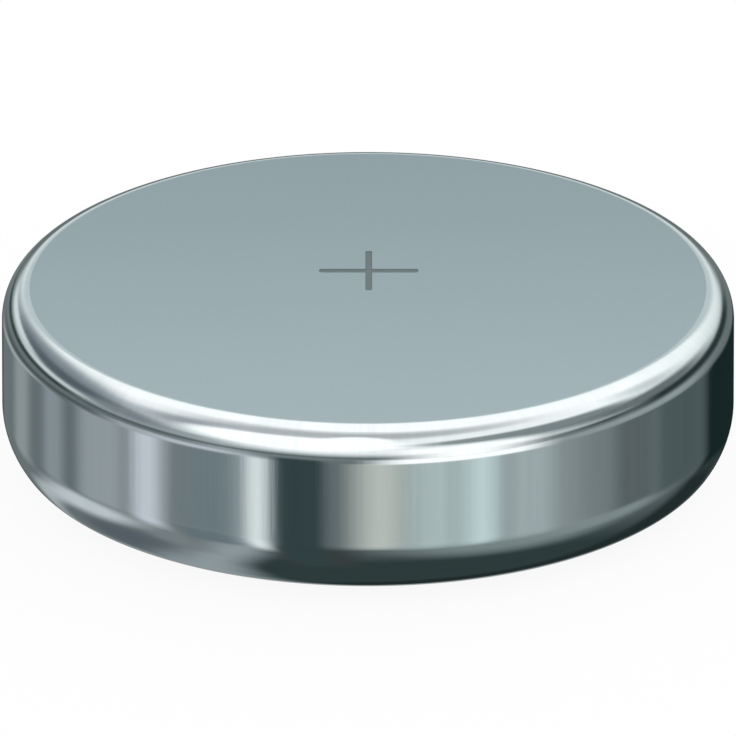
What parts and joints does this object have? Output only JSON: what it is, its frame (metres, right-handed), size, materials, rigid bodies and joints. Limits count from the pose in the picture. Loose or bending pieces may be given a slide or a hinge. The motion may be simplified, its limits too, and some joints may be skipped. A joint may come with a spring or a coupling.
{
  "type": "button cell battery",
  "caption": "Round silver-oxide button cell: drawn steel can with a rounded edge, crimped over a nylon sealing ring and a folded-rim cap, electrodes stacked inside.",
  "frame": {"origin": "centre of the negative cap's contact face, on the cell's axis", "axes": "+Z along the axis, out of the flat positive face; X and Y across, the cell being round"},
  "size_m": [0.0116, 0.0116, 0.003],
  "materials": {
    "can_plate": "nickel-plated deep-drawn steel, bright wall and edge, satin flat face",
    "cap_plate": "nickel outside of a clad sheet, fine press and contact marks",
    "nylon": "moulded nylon, pale and slightly translucent",
    "ring_steel": "stamped plated steel",
    "silver_oxide": "pressed silver oxide powder with graphite, matt",
    "membrane": "cellulose film",
    "fleece": "non-woven fleece, damp",
    "zinc_gel": "zinc powder in gel, grainy"
  },
  "bodies": {
    "root": {"positive_can": "can_plate", "negative_cap": "cap_plate", "sealing_ring": "nylon", "support_ring": "ring_steel", "cathode_pellet": "silver_oxide", "separator_membrane": "membrane", "absorbent_pad": "fleece", "zinc_anode": "zinc_gel"}
  },
  "joints": []
}
